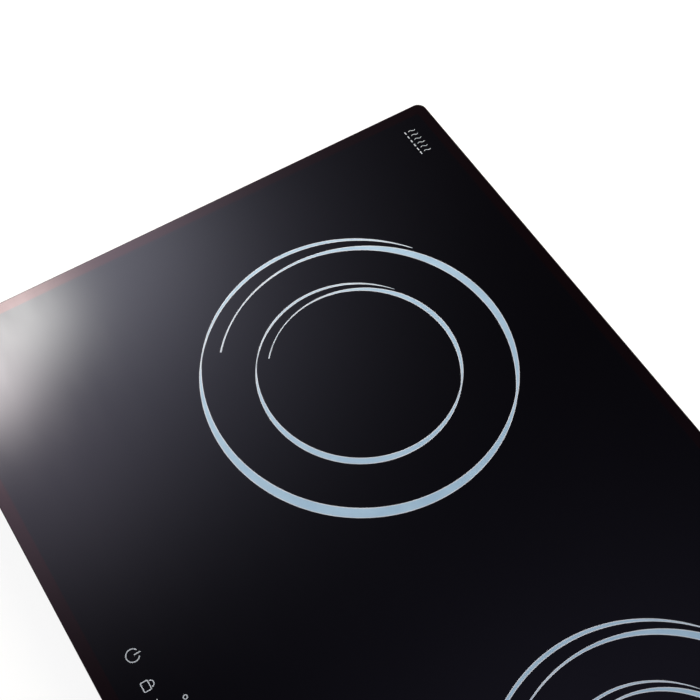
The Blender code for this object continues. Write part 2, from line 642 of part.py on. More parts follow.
def ribbon_cable():
    """A flat strip from the touch board, out of its holder and down to the right power board."""
    high, low = HOLDER_LOW + 4.2, BOARD_HIGH + GAP
    y, far, bend = RIBBON_SLOT_Y, TOUCH_Y + 18, 4
    upper = [(far, high + RIBBON_THICK)] + arc((y - bend, high + RIBBON_THICK - bend), bend, QUARTER, 0, 4)
    lower = arc((y - bend, high + RIBBON_THICK - bend), bend - RIBBON_THICK, 0, QUARTER, 4) + [(far, high)]
    strip = plate([upper + [(y, low), (y - RIBBON_THICK, low)] + lower], RIBBON_WIDTH)
    strip.transform(Matrix.Rotation(QUARTER, 4, "Z") @ Matrix.Rotation(QUARTER, 4, "X"))
    link("ribbon_cable", strip, "ribbon_grey", (RIBBON_X - RIBBON_WIDTH / 2, 0, 0))


def hold_down_clamp(number, x, y, turn):
    """A screw held between lug and flange, and the arm that rides up it. Both turn about the screw's axis."""
    profile = [(0, 55.4), (PIN_RADIUS, 55.4), (PIN_RADIUS, 54), (SCREW_RADIUS, 54), (SCREW_RADIUS, 5.2)]
    profile += [(SCREW_HEAD, 5.2), (SCREW_HEAD, 2.2), (0, 2.2)]
    turned(f"clamp_screw_{number}", profile, "zinc_steel", (x, y, 0), steps=16)
    outline = slab_outline(ARM_WIDTH, ARM_LENGTH + ARM_WIDTH / 2, 3, (0, ARM_LENGTH / 2 - ARM_WIDTH / 4), 3)
    arm = link(f"clamp_arm_{number}", plate([outline], ARM_THICK), "zinc_steel", (x, y, ARM_LOW), turn)
    arm.data.transform(Matrix.Translation((0, 0, (ARM_HUB_HEIGHT - ARM_THICK) * MM)))
    join(arm, "hub", solids(cylinders=[((0, 0, 0), (0, 0, ARM_HUB_HEIGHT - 0.4), ARM_HUB_RADIUS)]))
    half, end = ARM_WIDTH / 2 - 0.5, ARM_LENGTH - 0.6
    tooth = ((-half, end - 2, ARM_HUB_HEIGHT - 1), (half, end, ARM_HUB_HEIGHT + ARM_TOOTH))
    join(arm, "tooth", solids(boxes=[tooth]))
    bore = ((0, 0, -1), (0, 0, ARM_HUB_HEIGHT + 1), SCREW_RADIUS + 0.15)
    cut(arm, "bore", solids(cylinders=[bore]))


def build():
    glass_panel()
    rim_seal()
    glass_frame()
    base_pan()
    carrier_plate()
    for side, sign in SIDES:
        induction_coil(side, sign * ZONE_X)
        temperature_sensor(side, sign * ZONE_X)
        coil_springs(side, sign * ZONE_X)
        power_electronics(side, sign)
        fan_frame(side, sign * FAN_X)
        fan_rotor(side, sign * FAN_X)
        coil_lead(side, sign)
        mains_lead(side, sign)
    touch_controls()
    ribbon_cable()
    mains_inlet()
    for place in clamp_places():
        hold_down_clamp(*place)


clear_scene()
parts = collection("induction_cooktop")
helpers = collection("cutters")
cooktop = bpy.data.objects.new("cooktop", None)
parts.objects.link(cooktop)
build()
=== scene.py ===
import json
import math

import bmesh
import bpy
from mathutils import Matrix, Vector


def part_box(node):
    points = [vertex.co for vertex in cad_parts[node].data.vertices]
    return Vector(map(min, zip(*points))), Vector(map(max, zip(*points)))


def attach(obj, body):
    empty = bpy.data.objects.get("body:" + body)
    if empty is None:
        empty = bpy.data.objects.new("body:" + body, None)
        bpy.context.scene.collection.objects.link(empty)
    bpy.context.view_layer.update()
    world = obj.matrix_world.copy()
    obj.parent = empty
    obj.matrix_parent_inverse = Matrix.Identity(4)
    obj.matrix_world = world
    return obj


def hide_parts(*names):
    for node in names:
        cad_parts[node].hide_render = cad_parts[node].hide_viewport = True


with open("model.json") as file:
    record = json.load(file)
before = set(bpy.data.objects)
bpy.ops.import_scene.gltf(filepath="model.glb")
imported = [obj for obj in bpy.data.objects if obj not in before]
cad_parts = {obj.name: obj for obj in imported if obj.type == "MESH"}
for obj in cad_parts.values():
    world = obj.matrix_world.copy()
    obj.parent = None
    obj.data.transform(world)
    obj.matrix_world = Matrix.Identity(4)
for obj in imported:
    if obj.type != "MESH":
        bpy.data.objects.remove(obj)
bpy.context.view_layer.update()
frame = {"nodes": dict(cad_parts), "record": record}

MM = 0.001
ROOT = "cooktop"
SIDES = ("left", "right")
CLAMPS = (1, 2, 3, 4)
QUARTER = math.pi / 2

GLASS_LOW, GLASS_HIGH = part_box("glass_panel")
TOP = GLASS_HIGH.z
HALF_X, HALF_Y = GLASS_HIGH.x, GLASS_HIGH.y


def middle(node):
    """The middle of a node's box."""
    low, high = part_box(node)
    return (low + high) / 2


# ---------------------------------------------------------------- materials


class Net:
    """A material's node tree, with short calls for the nodes that the looks below are made of."""

    def __init__(self, name, colour, roughness, metallic=0.0, **sockets):
        self.material = bpy.data.materials.new(name)
        self.material.use_nodes = True
        self.material.diffuse_color = (*colour, 1)
        self.nodes = self.material.node_tree.nodes
        self.links = self.material.node_tree.links
        self.shader = self.nodes["Principled BSDF"]
        self.shader.inputs["Base Color"].default_value = (*colour, 1)
        self.shader.inputs["Roughness"].default_value = roughness
        self.shader.inputs["Metallic"].default_value = metallic
        for socket, value in sockets.items():
            self.shader.inputs[socket.replace("_", " ")].default_value = value
        self.place = self.nodes.new("ShaderNodeTexCoord").outputs["Object"]

    def feed(self, socket, value):
        """A socket takes a link where it is given one, and a value where it is given a value."""
        if isinstance(value, bpy.types.NodeSocket):
            self.links.new(value, socket)
        else:
            socket.default_value = value

    def stretched(self, scale, turn=(0, 0, 0)):
        """The object's own coordinates, scaled and turned, for a pattern that runs one way."""
        node = self.nodes.new("ShaderNodeMapping")
        node.inputs["Scale"].default_value = scale
        node.inputs["Rotation"].default_value = turn
        self.links.new(self.place, node.inputs["Vector"])
        return node.outputs["Vector"]

    def noise(self, scale, detail=2.0, rough=0.5, vector=None):
        node = self.nodes.new("ShaderNodeTexNoise")
        node.inputs["Scale"].default_value = scale
        node.inputs["Detail"].default_value = detail
        node.inputs["Roughness"].default_value = rough
        self.links.new(vector or self.place, node.inputs["Vector"])
        return node.outputs["Fac"]

    def cells(self, scale, feature="F1", output="Distance", randomness=1.0):
        node = self.nodes.new("ShaderNodeTexVoronoi")
        node.feature = feature
        node.inputs["Scale"].default_value = scale
        node.inputs["Randomness"].default_value = randomness
        self.links.new(self.place, node.inputs["Vector"])
        return node.outputs[output]

    def edges(self, radius):
        """Near 1 where the surface turns a corner, 0 on the flat: where handling rubs a finish."""
        round_off = self.nodes.new("ShaderNodeBevel")
        round_off.samples = 4
        round_off.inputs["Radius"].default_value = radius
        flat = self.nodes.new("ShaderNodeNewGeometry").outputs["Normal"]
        dot = self.nodes.new("ShaderNodeVectorMath")
        dot.operation = "DOT_PRODUCT"
        self.links.new(round_off.outputs["Normal"], dot.inputs[0])
        self.links.new(flat, dot.inputs[1])
        turned = self.spread(dot.outputs["Value"], 0.995, 0.80, smooth=True)
        patchy = self.spread(self.noise(160.0, 4.0, 0.7), 0.35, 0.65)
        return self.math("MULTIPLY", turned, patchy, clamp=True)

    def math(self, operation, *values, clamp=False):
        node = self.nodes.new("ShaderNodeMath")
        node.operation = operation
        node.use_clamp = clamp
        for socket, value in zip(node.inputs, values):
            self.feed(socket, value)
        return node.outputs["Value"]

    def axis(self, name, vector=None):
        """One coordinate of a vector, or of the object's own place."""
        node = self.nodes.new("ShaderNodeSeparateXYZ")
        self.links.new(vector or self.place, node.inputs["Vector"])
        return node.outputs[name]

    def spread(self, value, low, high, to_low=0.0, to_high=1.0, smooth=False):
        """The value's range from low to high, laid on another range."""
        node = self.nodes.new("ShaderNodeMapRange")
        node.interpolation_type = "SMOOTHSTEP" if smooth else "LINEAR"
        for socket, number in zip(node.inputs, (value, low, high, to_low, to_high)):
            self.feed(socket, number)
        return node.outputs["Result"]

    def mix(self, share, first, second):
        """From the first colour at share 0 to the second at share 1."""
        node = self.nodes.new("ShaderNodeMix")
        node.data_type = "RGBA"
        self.feed(node.inputs["Factor"], share)
        for name, colour in (("A", first), ("B", second)):
            socket = next(s for s in node.inputs if s.name == name and s.type == "RGBA")
            self.feed(socket, (*colour, 1) if isinstance(colour, tuple) else colour)
        return next(s for s in node.outputs if s.type == "RGBA")

    def colour(self, value):
        self.links.new(value, self.shader.inputs["Base Color"])

    def rough(self, value):
        self.links.new(value, self.shader.inputs["Roughness"])

    def bump(self, height, strength=0.2, distance=0.0002):
        """Adds relief. A second call lies on top of the first."""
        node = self.nodes.new("ShaderNodeBump")
        node.inputs["Strength"].default_value = strength
        node.inputs["Distance"].default_value = distance
        self.links.new(height, node.inputs["Height"])
        normal = self.shader.inputs["Normal"]
        if normal.is_linked:
            self.links.new(normal.links[0].from_socket, node.inputs["Normal"])
        self.links.new(node.outputs["Normal"], normal)


def glass_ceramic():
    """Near-black glass: a little uneven in tone, wiped clean, and not quite flat."""
    net = Net("glass_ceramic", (0.0013, 0.0012, 0.0018), 0.06, IOR=1.5)
    net.colour(net.mix(net.noise(7.0, 3.0), (0.0010, 0.0009, 0.0014), (0.0016, 0.0015, 0.0022)))
    wiped(net)
    return net.material


def glass_band_painted_glow():
    """The same glass where it overhangs the frame, with a painted red glow: light gets in behind it and
    shines through its red tint, and this red colour and red-tinted gloss paint that light in.
    """
    net = Net("glass_band_painted_glow", (0.0022, 0.0011, 0.0015), 0.06, IOR=1.5, Specular_IOR_Level=0.64)
    # Painted light: the red base colour and the red specular tint stand in for light shining through the
    # overhang from behind.
    net.shader.inputs["Specular Tint"].default_value = (1.0, 0.77, 0.76, 1)
    net.colour(net.mix(net.noise(40.0, 3.0), (0.0018, 0.0009, 0.0013), (0.0030, 0.0013, 0.0017)))
    wiped(net)
    return net.material


def wiped(net):
    """Faint streaks that a cloth leaves, and the panel's slight waviness."""
    streaks = net.noise(26.0, 4.0, 0.6, net.stretched((1.0, 3.5, 1.0), (0, 0, 0.6)))
    net.rough(net.spread(streaks, 0.3, 0.75, 0.045, 0.085))
    net.bump(net.noise(9.0, 1.0), 0.02, 0.0004)


def glass_edge():
    """The panel's ground and polished edge: dark red-brown, slightly satin."""
    net = Net("glass_edge", (0.012, 0.007, 0.0075), 0.30, IOR=1.5, Specular_IOR_Level=0.3)
    grind = net.noise(900.0, 2.0, 0.5, net.stretched((1.0, 1.0, 6.0)))
    net.colour(net.mix(net.noise(30.0), (0.008, 0.0055, 0.006), (0.016, 0.009, 0.0095)))
    net.rough(net.spread(grind, 0.3, 0.7, 0.25, 0.40))
    net.bump(grind, 0.12, 0.00005)
    return net.material


def enamel(name, tone, light):
    """Fired screen-print colour: a fine dot screen, a little uneven in thickness."""
    net = Net(name, tone, 0.42)
    dots = net.cells(1500.0, randomness=0.15)
    screen = net.spread(dots, 0.15, 0.75, smooth=True)
    uneven = net.noise(60.0, 3.0)
    body = net.mix(net.spread(uneven, 0.35, 0.65), tone, light)
    deeper = tuple(v * 0.86 for v in tone)
    net.colour(net.mix(net.math("MULTIPLY", screen, 0.5), body, deeper))
    net.rough(net.spread(uneven, 0.3, 0.7, 0.38, 0.5))
    net.bump(screen, 0.08, 0.00003)
    return net.material


def foam():
    """Black closed-cell foam with fine pores."""
    net = Net("seal_foam", (0.022, 0.022, 0.024), 0.95)
    pores = net.cells(2200.0)
    net.colour(net.mix(pores, (0.012, 0.012, 0.013), (0.036, 0.036, 0.039)))
    net.bump(pores, 0.6, 0.0002)
    return net.material


def galvanised():
    """Zinc-coated sheet: fine spangle, rolling lines and handling scuffs."""
    net = Net("pan_steel", (0.36, 0.37, 0.38), 0.45, 1.0)
    flake = net.axis("X", net.cells(330.0, output="Color"))
    cloud = net.math("MULTIPLY", net.noise(14.0, 4.0), 0.55)
    tone = net.math("ADD", net.math("MULTIPLY", flake, 0.45), cloud)
    lines = net.noise(300.0, 2.0, 0.5, net.stretched((0.05, 1.0, 1.0)))
    scuffs = net.spread(net.noise(22.0, 6.0, 0.7), 0.52, 0.70, smooth=True)
    zinc = net.mix(tone, (0.31, 0.32, 0.335), (0.43, 0.44, 0.455))
    worn = net.mix(net.math("MULTIPLY", scuffs, 0.45), zinc, (0.24, 0.245, 0.25))
    net.colour(net.mix(net.math("MULTIPLY", net.edges(0.0006), 0.5), worn, (0.58, 0.59, 0.60)))
    flat = net.math("ADD", net.spread(tone, 0.2, 0.8, 0.36, 0.50), net.spread(scuffs, 0, 1, 0, 0.12))
    net.rough(net.math("ADD", flat, net.spread(lines, 0.3, 0.7, -0.03, 0.03)))
    net.bump(flake, 0.03, 0.0001)
    net.bump(lines, 0.04, 0.0001)
    return net.material


def brushed(name, low, high, roughness, direction=(0.03, 1.0, 1.0)):
    """Plain metal with a drawn or brushed grain."""
    net = Net(name, low, roughness, 1.0)
    grain = net.noise(600.0, 3.0, 0.6, net.stretched(direction))
    stain = net.noise(35.0, 4.0, 0.6)
    metal = net.mix(net.math("MULTIPLY", net.math("ADD", grain, stain), 0.5), low, high)
    bright = tuple(min(1.0, 1.2 * v + 0.05) for v in high)
    net.colour(net.mix(net.math("MULTIPLY", net.edges(0.0003), 0.6), metal, bright))
    net.rough(net.spread(grain, 0.3, 0.7, roughness - 0.07, roughness + 0.09))
    net.bump(grain, 0.10, 0.00006)
    return net.material


def moulded(name, low, high, roughness, scale=1400.0):
    """Moulded plastic with a spark-eroded grain."""
    net = Net(name, low, roughness)
    grain = net.cells(scale, feature="SMOOTH_F1")
    tone = net.noise(28.0, 4.0, 0.6)
    rubbed = tuple(min(1.0, 1.35 * v + 0.012) for v in high)
    net.colour(net.mix(net.math("MULTIPLY", net.edges(0.0004), 0.5), net.mix(tone, low, high), rubbed))
    net.rough(net.spread(tone, 0.3, 0.7, roughness - 0.06, roughness + 0.08))
    net.bump(grain, 0.25, 0.00008)
    return net.material


def copper_litz():
    """Twisted strands that run round each coil's middle."""
    net = Net("copper_litz", (0.62, 0.26, 0.12), 0.38, 1.0)
    coil = middle("coil_winding_right")
    across = net.math("SUBTRACT", net.math("ABSOLUTE", net.axis("X")), coil.x)
    along = net.math("SUBTRACT", net.axis("Y"), coil.y)
    reach = net.math("SQRT", net.math("ADD", net.math("POWER", across, 2.0), net.math("POWER", along, 2.0)))
    turn = net.math("ARCTAN2", along, across)
    strands = net.nodes.new("ShaderNodeCombineXYZ")
    net.feed(strands.inputs["X"], net.math("MULTIPLY", reach, 2600.0))
    net.feed(strands.inputs["Y"], net.math("MULTIPLY", turn, 30.0))
    twist = net.noise(1.0, 2.0, 0.6, strands.outputs["Vector"])
    metal = net.mix(net.spread(twist, 0.3, 0.7), (0.46, 0.17, 0.07), (0.76, 0.36, 0.17))
    net.colour(net.mix(net.math("MULTIPLY", net.noise(30.0, 4.0), 0.4), metal, (0.34, 0.13, 0.07)))
    net.rough(net.spread(twist, 0.3, 0.7, 0.48, 0.28))
    net.bump(twist, 0.5, 0.0002)
    return net.material


def circuit_board():
    """Green mask over copper tracks, with tinned dots where the parts are soldered."""
    net = Net("circuit_board", (0.012, 0.12, 0.05), 0.35)
    track = net.spread(net.cells(150.0, feature="DISTANCE_TO_EDGE"), 0.04, 0.09, 1.0, 0.0, smooth=True)
    dots = net.spread(net.cells(260.0, randomness=0.5), 0.16, 0.22, 1.0, 0.0, smooth=True)
    mask = net.mix(net.noise(45.0, 4.0), (0.010, 0.10, 0.042), (0.016, 0.14, 0.058))
    lines = net.mix(net.math("MULTIPLY", track, 0.8), mask, (0.030, 0.22, 0.085))
    net.colour(net.mix(dots, lines, (0.52, 0.53, 0.50)))
    net.rough(net.spread(dots, 0, 1, 0.34, 0.25))
    net.bump(net.math("MAXIMUM", track, dots), 0.3, 0.0001)
    return net.material


MATERIALS = {
    "glass_ceramic": glass_ceramic(),
    "glass_band_painted_glow": glass_band_painted_glow(),
    "glass_edge": glass_edge(),
    "zone_enamel": enamel("zone_enamel", (0.196, 0.305, 0.422), (0.230, 0.340, 0.455)),
    "zone_enamel_light": enamel("zone_enamel_light", (0.362, 0.398, 0.462), (0.412, 0.448, 0.512)),
    "mark_enamel": enamel("mark_enamel", (0.27, 0.30, 0.34), (0.31, 0.34, 0.385)),
    "seal_foam": foam(),
    "pan_steel": galvanised(),
    "frame_plastic": moulded("frame_plastic", (0.020, 0.020, 0.022), (0.034, 0.034, 0.037), 0.55),
    "carrier_aluminium": brushed("carrier_aluminium", (0.66, 0.67, 0.68), (0.82, 0.83, 0.84), 0.36),
    "former_plastic": moulded("former_plastic", (0.075, 0.068, 0.060), (0.11, 0.10, 0.09), 0.62),
    "copper_litz": copper_litz(),
    "ferrite": moulded("ferrite", (0.035, 0.035, 0.040), (0.060, 0.060, 0.065), 0.70, 700.0),
    "mica": moulded("mica", (0.52, 0.48, 0.40), (0.66, 0.62, 0.54), 0.70, 300.0),
    "spring_steel": brushed("spring_steel", (0.50, 0.50, 0.49), (0.68, 0.68, 0.66), 0.30),
    "circuit_board": circuit_board(),
    "component_black": moulded("component_black", (0.014, 0.014, 0.015), (0.026, 0.026, 0.028), 0.50),
    "capacitor_case": moulded("capacitor_case", (0.42, 0.07, 0.04), (0.56, 0.10, 0.06), 0.40),
    "display_lens": moulded("display_lens", (0.06, 0.006, 0.006), (0.09, 0.008, 0.008), 0.22),
    "lead_jacket": moulded("lead_jacket", (0.42, 0.05, 0.03), (0.54, 0.07, 0.05), 0.5),
    "ribbon_grey": moulded("ribbon_grey", (0.36, 0.36, 0.38), (0.48, 0.48, 0.50), 0.5),
    "zinc_steel": brushed("zinc_steel", (0.36, 0.37, 0.38), (0.52, 0.53, 0.54), 0.34, (1.0, 1.0, 0.05)),
}


def finish_cad_nodes():
    """Every CAD node keeps its shape and takes the detailed material of its slot."""
    for row in frame["record"]["subparts"]:
        node = frame["nodes"][row["node"]]
        node.data.materials.clear()
        node.data.materials.append(MATERIALS[row["material_slot"]])


# ---------------------------------------------------------------- mesh helpers


def outward(mesh):
    """Turns every face to the outside."""
    bmesh.ops.recalc_face_normals(mesh, faces=mesh.faces)
    if mesh.calc_volume(signed=True) < 0:
        bmesh.ops.reverse_faces(mesh, faces=mesh.faces)


def piece(name, mesh, materials, body=ROOT, replaces=(), angle=35):
    """A visible piece from a bmesh, riding on a body."""
    outward(mesh)
    data = bpy.data.meshes.new(name)
    mesh.to_mesh(data)
    mesh.free()
    for material in materials:
        data.materials.append(MATERIALS[material])
    data.shade_smooth()
    data.set_sharp_from_angle(angle=math.radians(angle))
    obj = bpy.data.objects.new(name, data)
    bpy.context.scene.collection.objects.link(obj)
    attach(obj, body)
    if replaces:
        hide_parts(*replaces)


def arc(x, y, radius, start, end, steps):
    """Points along an arc, both ends included."""
    angles = [start + (end - start) * i / steps for i in range(steps + 1)]
    return [(x + radius * math.cos(a), y + radius * math.sin(a)) for a in angles]


def slab_outline(half_x, half_y, corner, steps=10):
    """A rectangle with round corners, anticlockwise."""
    x, y = half_x - corner, half_y - corner
    points = []
    for i, (cx, cy) in enumerate(((x, y), (-x, y), (-x, -y), (x, -y))):
        points += arc(cx, cy, corner, i * QUARTER, (i + 1) * QUARTER, steps)
    return points


def skin(mesh, loops, closed=True, around=True):
    """Faces between loops of points, one after another. Returns the loops' vertices."""
    rows = [[mesh.verts.new(p) for p in loop] for loop in loops]
    pairs = list(zip(rows, rows[1:])) + ([(rows[-1], rows[0])] if closed else [])
    count = len(rows[0])
    for a, b in pairs:
        for i in range(count if around else count - 1):
            j = (i + 1) % count
            mesh.faces.new((a[i], a[j], b[j], b[i]))
    return rows


def capped(mesh, loops):
    """A closed body between its first loop and its last."""
    rows = skin(mesh, loops, closed=False)
    mesh.faces.new(rows[0])
    mesh.faces.new(rows[-1])


def turned_loops(outline, steps, swell=None):
    """Loops for an outline of (radius, height), turned round Z. The swell changes a radius with the angle."""
    loops = []
    for radius, height in outline:
        loop = []
        for i in range(steps):
            a = 2 * math.pi * i / steps
            r = swell(radius, height, a) if swell else radius
            loop.append((r * math.cos(a), r * math.sin(a), height))
        loops.append(loop)
    return loops


def combined(whole, tool, operation):
    """One closed body from two, joined or cut."""
    objects = []
    for part in (whole, tool):
        outward(part)
        data = bpy.data.meshes.new("blank")
        part.to_mesh(data)
        part.free()
        obj = bpy.data.objects.new("blank", data)
        bpy.context.scene.collection.objects.link(obj)
        objects.append(obj)
    modifier = objects[0].modifiers.new("combine", "BOOLEAN")
    modifier.operation = operation
    modifier.solver = "EXACT"
    modifier.object = objects[1]
    made = objects[0].evaluated_get(bpy.context.evaluated_depsgraph_get())
    result = bmesh.new()
    result.from_mesh(made.to_mesh())
    made.to_mesh_clear()
    for obj in objects:
        data = obj.data
        bpy.data.objects.remove(obj)
        bpy.data.meshes.remove(data)
    return result


def copies(shape, places):
    """One mesh with the shape at each place."""
    data = bpy.data.meshes.new("shape")
    shape.to_mesh(data)
    shape.free()
    mesh = bmesh.new()
    for place in places:
        known = len(mesh.verts)
        mesh.from_mesh(data)
        mesh.verts.ensure_lookup_table()
        bmesh.ops.transform(mesh, matrix=place, verts=mesh.verts[known:])
    bpy.data.meshes.remove(data)
    return mesh


def at(x, y, z=0.0, turn=0.0):
    """A place, with a turn about Z."""
    return Matrix.Translation((x, y, z)) @ Matrix.Rotation(turn, 4, "Z")


# ---------------------------------------------------------------- glass panel


def glass_panel():
    """The panel with its edge ground round. The strip that overhangs the frame takes the painted red glow."""
    corner, sharpest = 6 * MM, 0.5 * MM
    bevel = 0.4 * MM
    flat = 1.2 * bevel
    band = 7.5 * MM
    steps = 4
    low = GLASS_LOW.z
    rim = []
    for i in range(steps + 1):
        a = QUARTER * (steps - i) / steps
        rim.append((bevel * (1 - math.cos(a)), bevel * (1 - math.sin(a))))
    section = [(band, TOP), (flat, TOP)] + [(inset, TOP - drop) for inset, drop in rim]
    section += [(inset, low + drop) for inset, drop in reversed(rim)] + [(flat, low)]
    mesh = bmesh.new()
    loops = []
    for inset, z in section:
        outline = slab_outline(HALF_X - inset, HALF_Y - inset, max(corner - inset, sharpest))
        loops.append([(x, y, z) for x, y in outline])
    rows = skin(mesh, loops, closed=False)
    strip = 2 * len(rows[0])  # the first two rings of faces are the strip with the painted red glow, and the rest are the edge
    for i, face in enumerate(mesh.faces):
        face.material_index = 1 if i < strip else 2
    mesh.faces.new(rows[0])
    mesh.faces.new(rows[-1])
    slots = ("glass_ceramic", "glass_band_painted_glow", "glass_edge")
    piece("glass_top", mesh, slots, replaces=("glass_panel",))


# ---------------------------------------------------------------- printed rings

# The stroke of the outer ring, clockwise from its inner tail: (from, to, inner edge, outer edge).
# Angles are in degrees from +X. An edge is an arc, as (centre x, centre y, radius) in millimetres.
# The arcs were fitted to the photographed ring and rounded to 0.1 mm.
LOBES = (
    (230, 128, (1.2, 3.1, 85.5), (4.6, 5.5, 90.5)),
    (128, 48, (4.3, 1.4, 88.9), (2.0, 8.3, 86.8)),
    (48, -126, (-4.2, 3.2, 93.3), (0.2, 0.0, 94.0)),
    (-126, -233, (2.4, 0.7, 95.0), (-2.4, 0.5, 92.7)),
)
BLEND = 7  # degrees to each side of where two arcs meet
STATION_STEP = 2  # degrees
INNER_RING = 0.65  # the inner ring's size, as a share of the outer one's
HAIRLINE = 0.45  # width in millimetres of the pale line along each edge of the stroke
WIDEST_LINE = 0.4  # the most that such a line takes of a narrow stroke
PRINT_LOW, PRINT_HIGH = TOP + 0.01 * MM, TOP + 0.05 * MM  # a print's faces, just clear of the glass


def edge_reach(edge, angle):
    """How far a ray from the ring's middle goes to one of its stroke's arcs."""
    x, y, radius = edge
    c, s = math.cos(angle), math.sin(angle)
    return x * c + y * s + math.sqrt(radius**2 - (x * s - y * c) ** 2)


def stroke_stations():
    """(angle in radians, inner reach, outer reach) along the stroke, the reaches in millimetres.

    Each arc runs softly into the next.
    """
    first, last = LOBES[0][0], LOBES[-1][1]
    count = (first - last) // STATION_STEP
    stations = []
    for i in range(count + 1):
        angle = first + (last - first) * i / count
        a = math.radians(angle)
        near, far = (edge_reach(edge, a) for edge in LOBES[0][2:])
        for start, _, inner, outer in LOBES[1:]:
            t = min(1.0, max(0.0, (start + BLEND - angle) / (2 * BLEND)))
            share = t * t * (3 - 2 * t)
            near += (edge_reach(inner, a) - near) * share
            far += (edge_reach(outer, a) - far) * share
        stations.append((a, near, far))
    return stations


def zone_ring(side, ring, scale):
    """One printed ring of a zone: a blue stroke with a pale line along each edge."""
    centre = middle(f"coil_winding_{side}")
    mesh = bmesh.new()
    columns = [[] for _ in range(6)]
    for a, near, far in stroke_stations():
        near, far = near * scale, far * scale
        line = min(HAIRLINE, (far - near) * WIDEST_LINE)
        section = (
            (near, PRINT_LOW), (near, PRINT_HIGH), (near + line, PRINT_HIGH),
            (far - line, PRINT_HIGH), (far, PRINT_HIGH), (far, PRINT_LOW),
        )
        for column, (reach, z) in zip(columns, section):
            column.append((centre.x + reach * MM * math.cos(a), centre.y + reach * MM * math.sin(a), z))
    rows = skin(mesh, columns, around=False)
    count = len(columns[0]) - 1
    middle_strip = 2
    for i, face in enumerate(mesh.faces):
        face.material_index = 0 if i // count == middle_strip else 1
    for end in (0, -1):
        mesh.faces.new([row[end] for row in rows]).material_index = 1
    piece(f"zone_{ring}_ring_{side}", mesh, ("zone_enamel", "zone_enamel_light"))


# ---------------------------------------------------------------- printed marks


def ribbon(mesh, path, width, closed=False):
    """A printed line of even width along a path of points, in metres."""
    count = len(path)
    left, right = [], []
    for i, (x, y) in enumerate(path):
        if closed:
            (ax, ay), (bx, by) = path[i - 1], path[(i + 1) % count]
        else:
            (ax, ay), (bx, by) = path[max(i - 1, 0)], path[min(i + 1, count - 1)]
        length = math.hypot(bx - ax, by - ay)
        nx, ny = (ay - by) / length * width / 2, (bx - ax) / length * width / 2
        left.append((x + nx, y + ny))
        right.append((x - nx, y - ny))
    columns = [
        [(x, y, z) for x, y in side]
        for side, z in ((left, PRINT_LOW), (left, PRINT_HIGH), (right, PRINT_HIGH), (right, PRINT_LOW))
    ]
    rows = skin(mesh, columns, around=closed)
    if not closed:
        for end in (0, -1):
            mesh.faces.new([row[end] for row in rows])


def ring_path(x, y, radius, start=0.0, end=360.0, steps=24):
    """A circle, or the part of one between two angles in degrees."""
    points = arc(x, y, radius, math.radians(start), math.radians(end), steps)
    return points[:-1] if end - start == 360 else points


def corner_mark():
    """A plain pictogram near the back left corner: rising heat over a row of dashes."""
    inset = 16.5 * MM
    left, back = -HALF_X + inset, HALF_Y - inset
    count, pitch = 6, 3.75 * MM
    wave_start, wave_height = 1.0 * MM, 5.0 * MM
    sway, wave_width = 0.55 * MM, 0.42 * MM
    dash_length, dash_width = 2.2 * MM, 0.8 * MM
    dash_y = back - 7.4 * MM
    steps = 14
    mesh = bmesh.new()
    for i in range(count):
        x = left + wave_start + pitch * i
        wave = [
            (x + sway * math.sin(2 * math.pi * k / steps), back - wave_height * k / steps)
            for k in range(steps + 1)
        ]
        ribbon(mesh, wave, wave_width)
    for i in range(count):
        x = left + pitch * i
        ribbon(mesh, [(x, dash_y), (x + dash_length, dash_y)], dash_width)
    piece("corner_mark", mesh, ("mark_enamel",))


def touch_marks():
    """The controls at the front: power, lock, timer, and each zone's minus, slider, plus and selector."""
    mesh = bmesh.new()
    line = 0.6 * MM
    size = 3.6 * MM
    y = -HALF_Y + 24 * MM

    def bar(x0, y0, x1, y1):
        ribbon(mesh, [(x0, y0), (x1, y1)], line)

    power_x, lock_x, timer_x = -62 * MM, -44 * MM, 62 * MM
    ribbon(mesh, ring_path(power_x, y, size, 120, 420), line)
    bar(power_x, y + size * 0.2, power_x, y + size * 1.25)
    ribbon(mesh, ring_path(lock_x, y + size * 0.3, size * 0.5, 0, 180, 12), line)
    lock = slab_outline(size * 0.75, size * 0.55, size * 0.15, 3)
    ribbon(mesh, [(lock_x + u, y - size * 0.45 + v) for u, v in lock], line, closed=True)
    ribbon(mesh, ring_path(timer_x, y, size), line, closed=True)
    bar(timer_x, y, timer_x, y + size * 0.7)
    bar(timer_x, y, timer_x + size * 0.5, y)

    zone_x = 22 * MM
    sign_x, arm = 11 * MM, size * 0.6
    dots, dot_pitch, dot_radius, dot_line = 5, 3.2 * MM, 0.45 * MM, 0.35 * MM
    selector_y, selector_radius = y + 13 * MM, 2.6 * MM
    small_reach, small_radius = 6.5 * MM, 1.1 * MM
    for x in (-zone_x, zone_x):
        small_x = x + math.copysign(small_reach, x)
        bar(x - sign_x - arm, y, x - sign_x + arm, y)
        bar(x + sign_x - arm, y, x + sign_x + arm, y)
        bar(x + sign_x, y - arm, x + sign_x, y + arm)
        for i in range(dots):
            dot = ring_path(x + dot_pitch * (i - dots // 2), y, dot_radius, steps=10)
            ribbon(mesh, dot, dot_line, closed=True)
        ribbon(mesh, ring_path(x, selector_y, selector_radius), line, closed=True)
        ribbon(mesh, ring_path(small_x, selector_y, small_radius, steps=14), line, closed=True)
    piece("touch_marks", mesh, ("mark_enamel",))


# ---------------------------------------------------------------- seal, gland, screws and beads

SHEET = 1 * MM  # thickness of the pan's steel
PAN_LOW, PAN_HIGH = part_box("base_pan")
PAN_SIDE_WALL = 278 * MM  # from the middle to the outer face of the left and right walls
PAN_BACK_WALL = 160 * MM  # from the middle to the outer face of the back and front walls


